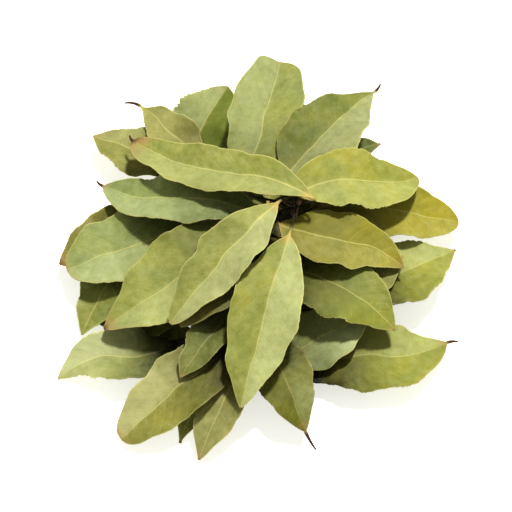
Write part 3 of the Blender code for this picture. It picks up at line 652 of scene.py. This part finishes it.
def build_leaf(leaf, number):
    """One dressed leaf, from inside the bark to its tip, with what its material needs to know."""
    blade = Blade(leaf, number)
    blade.take_lift(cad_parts["leaf_" + leaf.name])
    top, under, facts = blade.skin()
    rows = top.shape[1]
    angles = ring_angles(rows)
    middle = (top + under) / 2
    right = middle[:, -1] + units(top[:, -1] - top[:, -2]) * EDGE_ROUND
    left = middle[:, 0] + units(top[:, 0] - top[:, 1]) * EDGE_ROUND
    body = [np.vstack(ring) for ring in zip(top, right, under[:, ::-1], left)]
    stalk, hook = stalk_rows(blade, angles), hook_rows(blade, angles)
    verts, faces = loft(stalk + body + hook)
    verts[:, 2] = np.maximum(verts[:, 2], 0.0)
    obj = make_mesh(leaf.name + "_leaf", verts, faces)

    stalk_u = [-BEYOND * (1 - i / STALK_STEPS) for i in range(len(stalk))]
    hook_u = [1 + BEYOND * (i + 1) / HOOK_STEPS for i in range(len(hook))]
    fixed = {"edge": (WELL_INSIDE, WELL_INSIDE), "vein": (-1.0, 0.5), "across": (0.0, 0.0),
             "along": (0.0, facts["along"][-1, 0])}
    u = ring_facts(facts["u"], stalk_u, hook_u)
    edge, vein, across, along = (ring_facts(facts[name], [first] * len(stalk), [last] * len(hook))
                                 for name, (first, last) in fixed.items())
    face = np.repeat((1.0, 0.0), (rows, rows + 2))
    face = np.append(np.tile(face, len(stalk + body + hook)), (1.0, 1.0))
    look = blade.look
    # painted light: one half of the blade paler and lighter, standing in for the light and sheen its fold
    # catches
    painted_half_light = look.halves * np.tanh(across / LIT_HALF_BLEND)
    # painted shade: the blade darker towards its base, standing in for the shade of the hollows, with less
    # pale and light there
    inner = np.clip(1 - u / PAINTED_SHADE_REACH, 0, 1)
    shade = 1 - look.deep * inner * inner * (3 - 2 * inner)
    pale = (look.pale + LIT_HALF_PALE * painted_half_light) * shade
    light = (look.light + LIT_HALF_LIGHT * painted_half_light) * shade
    same = np.ones_like(u)
    mark(obj, {"blade_place": np.column_stack((u, edge, vein)),
               "blade_look": np.column_stack((same * look.gold, pale, light)),
               "blade_side": np.column_stack((face, same * look.brown, same * number))})
    layer = obj.data.uv_layers.new(name="blade")
    corner = np.zeros(len(obj.data.loops), dtype=np.int32)
    obj.data.loops.foreach_get("vertex_index", corner)
    layer.data.foreach_set("uv", np.column_stack((along, across))[corner].astype(np.float32).ravel())
    wear(obj, materials[leaf.tone])
    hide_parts("leaf_" + leaf.name)


class Wires:
    """Short ways to add and join the nodes of one tree."""

    def __init__(self, tree):
        self.tree = tree

    def add(self, kind, inputs=(), **settings):
        node = self.tree.nodes.new(kind)
        for key, value in settings.items():
            setattr(node, key, value)
        for key, value in dict(inputs).items():
            self.feed(value, node.inputs[key])
        return node

    def feed(self, value, socket):
        if isinstance(value, bpy.types.NodeSocket):
            self.tree.links.new(value, socket)
        else:
            socket.default_value = value

    def math(self, operation, *values, clamp=False):
        node = self.add("ShaderNodeMath", operation=operation, use_clamp=clamp)
        for value, socket in zip(values, node.inputs):
            self.feed(value, socket)
        return node.outputs[0]

    plus = partialmethod(math, "ADD")
    minus = partialmethod(math, "SUBTRACT")
    times = partialmethod(math, "MULTIPLY")
    divide = partialmethod(math, "DIVIDE")
    linear = partialmethod(math, "MULTIPLY_ADD")  # a value, its scale, and what is added

    def split(self, vector):
        return self.add("ShaderNodeSeparateXYZ", {"Vector": vector}).outputs

    def step(self, value, low, high):
        """A soft step: 0 below low, 1 above high, or the other way round where low is the higher."""
        node = self.add("ShaderNodeMapRange", interpolation_type="SMOOTHSTEP")
        flip = isinstance(low, float) and isinstance(high, float) and low > high
        ends = (high, low, 1.0, 0.0) if flip else (low, high, 0.0, 1.0)
        for item, key in zip((value, *ends), ("Value", "From Min", "From Max", "To Min", "To Max")):
            self.feed(item, node.inputs[key])
        return node.outputs["Result"]

    def mix(self, factor, first, second, how="MIX"):
        node = self.add("ShaderNodeMix", data_type="RGBA", blend_type=how)
        for item, key in ((factor, 0), (first, 6), (second, 7)):
            self.feed(item, node.inputs[key])
        return node.outputs[2]

    def noise(self, vector, scale, detail=3.0, rough=0.55):
        inputs = {"Vector": vector, "Scale": scale, "Detail": detail, "Roughness": rough}
        return self.add("ShaderNodeTexNoise", inputs).outputs["Fac"]

    def attribute(self, name):
        node = self.add("ShaderNodeAttribute", attribute_type="GEOMETRY", attribute_name=name)
        return node.outputs["Vector"]

    def millimetres(self):
        """Places on an object, in millimetres."""
        return self.scaled(self.add("ShaderNodeTexCoord").outputs["Object"], 1 / MM)

    def scaled(self, vector, scale):
        return self.add("ShaderNodeVectorMath", {0: vector, "Scale": scale}, operation="SCALE").outputs[0]

    def dent(self, shader, height, depth, strength):
        """Relief that shows in the light alone, from heights of 0 to about 1 that stand for so much depth."""
        bump = self.add("ShaderNodeBump", {"Height": height, "Distance": depth * MM, "Strength": strength})
        self.feed(bump.outputs["Normal"], shader.inputs["Normal"])


VEIN_MASKS = ("Rib", "Veins", "Net")
MOTTLE_MASKS = ("Patches", "Blotches", "Grain", "Specks")


def alike(kind, *names):
    """Sockets of one kind."""
    return [(name, kind) for name in names]


def new_group(name, inputs, outputs, tree_kind="ShaderNodeTree"):
    """An empty group of nodes with named sockets: (name, kind) or (name, kind, value)."""
    tree = bpy.data.node_groups.new(name, tree_kind)
    for way, sockets in (("INPUT", inputs), ("OUTPUT", outputs)):
        for label, kind, *value in sockets:
            socket = tree.interface.new_socket(label, in_out=way, socket_type="NodeSocket" + kind)
            if value:
                socket.default_value = value[0]
    wires = Wires(tree)
    return tree, wires, wires.add("NodeGroupInput").outputs, wires.add("NodeGroupOutput").inputs


def leaf_veins_group():
    """Midrib, side veins and fine net of a leaf, from its own map in millimetres."""
    tree, w, given, out = new_group(
        "leaf_veins",
        (("Map", "Vector"), ("Place", "Vector"), ("Vein Width", "Float", 0.3), ("Net Size", "Float", 1.5)),
        alike("Float", *VEIN_MASKS, "Height"))
    along, across, _ = w.split(given["Map"])
    u, edge, vein = w.split(given["Place"])
    far = w.math("ABSOLUTE", across)
    rib_half = w.linear(u, RIB_HALF_WIDTH[1] - RIB_HALF_WIDTH[0], RIB_HALF_WIDTH[0])
    rib = w.minus(1.0, w.step(w.divide(far, rib_half), 0.55, 1.35))
    on_blade = w.times(w.step(u, 0.0, 0.02), w.step(u, 1.02, 0.97))
    rib = w.times(rib, on_blade)
    wander = w.linear(w.noise(given["Map"], 0.35, 2.0), 0.24, -0.12)
    gap = w.math("PINGPONG", w.plus(vein, wander), 0.5)
    gap = w.times(gap, VEIN_SPACING * 0.8)
    veins = w.minus(1.0, w.step(w.divide(gap, given["Vein Width"]), 0.25, 1.0))
    veins = w.times(veins, w.times(w.step(edge, 0.6, 4.0), on_blade))
    cells = {"Vector": given["Map"], "Scale": w.divide(1.0, given["Net Size"]), "Randomness": 0.9}
    fine = w.add("ShaderNodeTexVoronoi", cells, feature="DISTANCE_TO_EDGE").outputs["Distance"]
    cells["Scale"] = 0.3
    coarse = w.add("ShaderNodeTexVoronoi", cells, feature="DISTANCE_TO_EDGE").outputs["Distance"]
    net = w.plus(w.times(w.step(fine, 0.12, 0.0), 0.5),
                 w.times(w.step(coarse, 0.07, 0.0), 0.7), clamp=True)
    net = w.times(net, on_blade)
    height = w.linear(veins, 0.5, w.times(net, 0.25))
    for label, socket in (("Rib", rib), ("Veins", veins), ("Net", net), ("Height", height)):
        w.feed(socket, out[label])
    return tree


def dried_mottle_group():
    """Soft patches, fine grain and specks of anything that has dried."""
    tree, w, given, out = new_group(
        "dried_mottle",
        (("Where", "Vector"), ("Seed", "Float"), ("Patch Size", "Float", 14.0), ("Grain Size", "Float", 1.2)),
        alike("Float", *MOTTLE_MASKS))
    shift = w.add("ShaderNodeCombineXYZ", {"X": given["Seed"], "Y": w.times(given["Seed"], 0.7)})
    shift = w.scaled(shift.outputs[0], 9.0)
    spot = w.add("ShaderNodeVectorMath", {0: given["Where"], 1: shift}, operation="ADD").outputs[0]
    patch = w.divide(1.0, given["Patch Size"])
    w.feed(w.noise(spot, patch, 3.0, 0.6), out["Patches"])
    w.feed(w.noise(spot, w.times(patch, 3.7), 4.0, 0.62), out["Blotches"])
    w.feed(w.noise(spot, w.divide(1.0, given["Grain Size"]), 4.0, 0.7), out["Grain"])
    dots = w.add("ShaderNodeTexVoronoi", {"Vector": spot, "Scale": 0.42, "Randomness": 1.0}).outputs
    size = w.times(w.noise(spot, 0.23, 1.0), 0.14)
    w.feed(w.math("LESS_THAN", dots["Distance"], w.minus(size, 0.035)), out["Specks"])
    return tree


def leaf_tissue_group():
    """The colour and the roughness of a dried blade, from its masks and its own look."""
    colours = alike("Color", "Green", "Gold", "Pale", "Vein", "Brown", "Tan", "Base", "Stalk")
    facts, masks = alike("Vector", "Look", "Place", "Side"), alike("Float", *VEIN_MASKS, *MOTTLE_MASKS)
    tree, w, given, out = new_group(
        "leaf_tissue", colours + facts + masks, (("Colour", "Color"), ("Roughness", "Float")))
    gold, pale, light = w.split(given["Look"])
    u, edge, _ = w.split(given["Place"])
    face, brown, _ = w.split(given["Side"])
    even, spotty, grain = (w.minus(given[name], 0.5) for name in MOTTLE_MASKS[:3])
    # between green, gold and pale
    gold = w.plus(gold, w.times(even, 1.2), clamp=True)
    pale = w.plus(pale, w.times(spotty, 0.9))
    pale = w.plus(pale, w.times(w.minus(1.0, face), UNDERSIDE_PALE), clamp=True)
    tone = w.mix(pale, w.mix(gold, given["Green"], given["Gold"]), given["Pale"])
    # light side veins, midrib and margin, and an ochre base
    veins = w.times(given["Veins"], w.times(w.step(given["Patches"], 0.3, 0.62), VEIN_LIGHT))
    rib, margin = w.times(given["Rib"], RIB_LIGHT), w.times(w.step(edge, 0.55, 0.12), MARGIN_LIGHT)
    for line in (veins, rib, margin):
        tone = w.mix(line, tone, given["Vein"])
    near = w.minus(1.0, w.step(w.plus(u, w.times(spotty, 0.05)), 0.0, 0.08))
    tone = w.mix(w.times(near, 0.5), tone, given["Base"])
    # from the leaf's light, which carries its painted shade and painted lit half, lighter and darker by
    # patches, blotches and grain, darker in the net and the specks
    shade = light
    shades = ((even, 0.5), (spotty, 0.28), (grain, 0.2), (given["Net"], -0.05), (given["Specks"], -0.14))
    for mask, depth in shades:
        shade = w.plus(shade, w.times(mask, depth))
    bright = w.add("ShaderNodeCombineXYZ", {"X": shade, "Y": shade, "Z": shade}).outputs[0]
    tone = w.mix(1.0, tone, bright, "MULTIPLY")
    # tan blotches along the margin and at the tip, which ends brown, as the hook does
    scorched = w.times(w.step(given["Blotches"], 0.56, 0.68), w.step(edge, 2.2, 0.0))
    scorched = w.times(scorched, w.linear(brown, 0.6, 0.03))
    reach = w.plus(u, w.times(spotty, 0.3))
    tanned = w.times(w.step(w.linear(brown, 0.12, reach), 0.96, 1.08), 0.6)
    tone = w.mix(w.math("MAXIMUM", scorched, tanned), tone, given["Tan"])
    burnt = w.step(w.linear(brown, 0.06, w.linear(spotty, 0.08, u)), 1.0, 1.06)
    hook = w.step(u, 0.998, 1.015)
    tone = w.mix(w.math("MAXIMUM", burnt, hook), tone, given["Brown"])
    # the stalk's dark brown, made near black as painted shade
    tone = w.mix(w.step(u, 0.0, -0.03), tone, given["Stalk"])
    w.feed(tone, out["Colour"])
    w.feed(w.linear(given["Grain"], 0.2, 0.5), out["Roughness"])
    return tree


def place_group(wires, tree, **inputs):
    """Put a group in a material, with its inputs named by words joined with underscores."""
    node = wires.add("ShaderNodeGroup", node_tree=tree)
    for key, value in inputs.items():
        wires.feed(value, node.inputs[key.replace("_", " ")])
    return node.outputs


def new_material(name):
    mat = bpy.data.materials.new(name)
    mat.use_nodes = True
    return mat, Wires(mat.node_tree), mat.node_tree.nodes["Principled BSDF"]


def leaf_material(tone):
    mat, w, shader = new_material("dried_leaf_" + tone)
    surface = w.add("ShaderNodeUVMap", uv_map="blade").outputs["UV"]
    place, look, side = (w.attribute(name) for name in ("blade_place", "blade_look", "blade_side"))
    veins = place_group(w, groups["veins"], Map=surface, Place=place)
    seed = w.split(side)[2]
    mottle = place_group(w, groups["mottle"], Where=surface, Seed=seed)
    masks = {name: veins[name] for name in VEIN_MASKS}
    masks.update({name: mottle[name] for name in MOTTLE_MASKS})
    facts = {"Look": look, "Place": place, "Side": side}
    tissue = place_group(w, groups["tissue"], **LEAF_COLOURS[tone], **facts, **masks)
    w.feed(tissue["Colour"], shader.inputs["Base Color"])
    w.feed(tissue["Roughness"], shader.inputs["Roughness"])
    shader.inputs["Specular IOR Level"].default_value = LEAF_SHINE
    w.dent(shader, w.linear(mottle["Grain"], 0.35, veins["Height"]), LEAF_RELIEF, 0.5)
    return mat


def bark_material():
    mat, w, shader = new_material("twig_bark")
    mottle = place_group(w, groups["mottle"], Where=w.millimetres(), Seed=3.0, Patch_Size=6.0, Grain_Size=0.7)
    tone = w.mix(w.step(mottle["Patches"], 0.35, 0.65), BARK_DARK, BARK_LIGHT)
    tone = w.mix(w.times(w.step(mottle["Blotches"], 0.5, 0.7), 0.5), tone, BARK_GREY)
    w.feed(tone, shader.inputs["Base Color"])
    w.feed(w.linear(mottle["Grain"], 0.2, 0.68), shader.inputs["Roughness"])
    w.dent(shader, w.plus(mottle["Grain"], w.times(mottle["Blotches"], 2.0)), BARK_RELIEF, 0.8)
    return mat


def cork_material():
    mat, w, shader = new_material("corky_dots")
    mottle = place_group(w, groups["mottle"], Where=w.millimetres(), Seed=8.0, Patch_Size=4.0, Grain_Size=0.4)
    w.feed(w.mix(mottle["Grain"], CORK_DARK, CORK_LIGHT), shader.inputs["Base Color"])
    shader.inputs["Roughness"].default_value = 0.9
    return mat


# ---- the twig
def fused_twig():
    """The twig's solid with its facets worked into a round, wrinkled bark."""
    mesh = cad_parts["twig"].data.copy()
    twig = put("barked_twig", mesh)
    bm = bmesh.new()
    bm.from_mesh(mesh)
    bmesh.ops.remove_doubles(bm, verts=bm.verts, dist=1e-6)
    bm.to_mesh(mesh)
    bm.free()
    remesh = twig.modifiers.new("voxels", "REMESH")
    remesh.mode = "VOXEL"
    remesh.voxel_size = TWIG_VOXEL * MM
    soften = twig.modifiers.new("soften", "SMOOTH")
    soften.iterations = TWIG_SMOOTHING
    fine = work_in(twig)
    wrinkle(fine)
    fine.shade_smooth()
    return twig


def wrinkle(mesh):
    """Fine ridges and dents of dried bark, which leave the level strip underneath alone."""
    spots = np.array([v.co for v in mesh.vertices])
    normals = np.array([v.normal for v in mesh.vertices])
    for i, spot in enumerate(spots):
        point = Vector(spot) / MM
        cell = Vector([part * grain for part, grain in zip(point, BARK_GRAIN)])
        ridge = noise.turbulence(cell, BARK_OCTAVES, False)
        spots[i] += normals[i] * (ridge - BARK_LEVEL) * BARK_WRINKLE * MM
    spots[:, 2] = np.maximum(spots[:, 2], 0.0)
    mesh.vertices.foreach_set("co", spots.ravel())
    mesh.update()


def lenticel_tree():
    """Geometry nodes: small corky dots strewn over a surface, lying flat on it."""
    tree, w, given, out = new_group(
        "lenticels",
        (("Bark", "Geometry"), ("Per Square Metre", "Float", 1.0), ("Length", "Float", 0.001),
         ("Seed", "Int", 1), ("Cork", "Material")),
        (("Dots", "Geometry"),), "GeometryNodeTree")
    strewn = w.add("GeometryNodeDistributePointsOnFaces",
                   {"Mesh": given["Bark"], "Density": given["Per Square Metre"], "Seed": given["Seed"]})
    dot = w.add("GeometryNodeMeshIcoSphere", {"Radius": 0.5, "Subdivisions": 2})
    across, flat = (w.times(given["Length"], part) for part in LENTICEL_FORM)
    size = w.add("ShaderNodeCombineXYZ", {"X": given["Length"], "Y": across, "Z": flat}).outputs[0]
    chance = {"Min": LENTICEL_SIZES[0], "Max": LENTICEL_SIZES[1], "Seed": given["Seed"]}
    spread = w.add("FunctionNodeRandomValue", chance, data_type="FLOAT").outputs["Value"]
    size = w.scaled(size, spread)
    placed = w.add("GeometryNodeInstanceOnPoints",
                   {"Points": strewn.outputs["Points"], "Instance": dot.outputs["Mesh"],
                    "Rotation": strewn.outputs["Rotation"], "Scale": size})
    real = w.add("GeometryNodeRealizeInstances", {"Geometry": placed.outputs["Instances"]})
    painted = w.add("GeometryNodeSetMaterial", {"Geometry": real.outputs[0], "Material": given["Cork"]})
    w.feed(painted.outputs[0], out["Dots"])
    return tree


def strew_lenticels(twig, mat):
    """The corky dots of the twig, as one plain mesh."""
    dots = put("twig_lenticels", twig.data.copy())
    strew = dots.modifiers.new("lenticels", "NODES")
    strew.node_group = lenticel_tree()
    sizes = {"Per Square Metre": LENTICELS, "Length": LENTICEL_LENGTH * MM, "Seed": SEED, "Cork": mat}
    for item in strew.node_group.interface.items_tree:
        if item.name in sizes:
            strew[item.identifier] = sizes[item.name]
    mesh = work_in(dots)
    for vertex in mesh.vertices:
        vertex.co.z = max(vertex.co.z, 0.0)
    mesh.shade_smooth()
    return dots


def build_twig():
    twig = fused_twig()
    wear(twig, bark_material())
    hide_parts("twig")
    cork = cork_material()
    wear(strew_lenticels(twig, cork), cork)


# ---- camera, light and floor
def set_the_camera():
    elevation = math.radians(CAMERA_ELEVATION)
    back = Vector((0.0, -math.cos(elevation), math.sin(elevation)))
    up = Vector((0.0, math.sin(elevation), math.cos(elevation)))
    data = bpy.data.cameras.new("camera")
    data.sensor_width = SENSOR
    data.lens = SENSOR * CAMERA_DISTANCE / VIEW_WIDTH
    camera = put("camera", data)
    spot = Vector((VIEW_RIGHT * MM, 0, 0)) + up * VIEW_UP * MM + back * CAMERA_DISTANCE
    camera.matrix_world = Matrix.Translation(spot) @ Matrix(((1, 0, 0), up, back)).transposed().to_4x4()
    bpy.context.scene.camera = camera


def set_the_light():
    sun = bpy.data.lights.new("key", "SUN")
    sun.energy = KEY_STRENGTH
    sun.angle = math.radians(KEY_SPREAD)
    sun.color = KEY_COLOUR
    key = put("key", sun)
    key.matrix_world = Vector(KEY_FROM).normalized().to_track_quat("Z", "Y").to_matrix().to_4x4()
    world = bpy.data.worlds.new("studio")
    world.use_nodes = True
    background = world.node_tree.nodes["Background"].inputs
    background["Color"].default_value = STUDIO_COLOUR
    background["Strength"].default_value = STUDIO_STRENGTH
    bpy.context.scene.world = world
    bpy.context.scene.view_settings.view_transform = "Standard"
    bpy.context.scene.view_settings.look = "Medium High Contrast"


def set_the_floor():
    h = FLOOR_HALF
    floor = make_mesh("floor", np.array(((-h, -h, 0), (h, -h, 0), (h, h, 0), (-h, h, 0))), [(0, 1, 2, 3)])
    mat, _, shader = new_material("white_table")
    shader.inputs["Base Color"].default_value = FLOOR_WHITE
    shader.inputs["Emission Color"].default_value = FLOOR_WHITE
    shader.inputs["Emission Strength"].default_value = FLOOR_GLOW
    shader.inputs["Roughness"].default_value = 0.9
    floor.data.materials.append(mat)


groups = {"veins": leaf_veins_group(), "mottle": dried_mottle_group(), "tissue": leaf_tissue_group()}
materials = {tone: leaf_material(tone) for tone in LEAF_COLOURS}
set_the_camera()
set_the_light()
set_the_floor()
build_twig()
for number, leaf in enumerate(LEAVES):
    build_leaf(leaf, number)
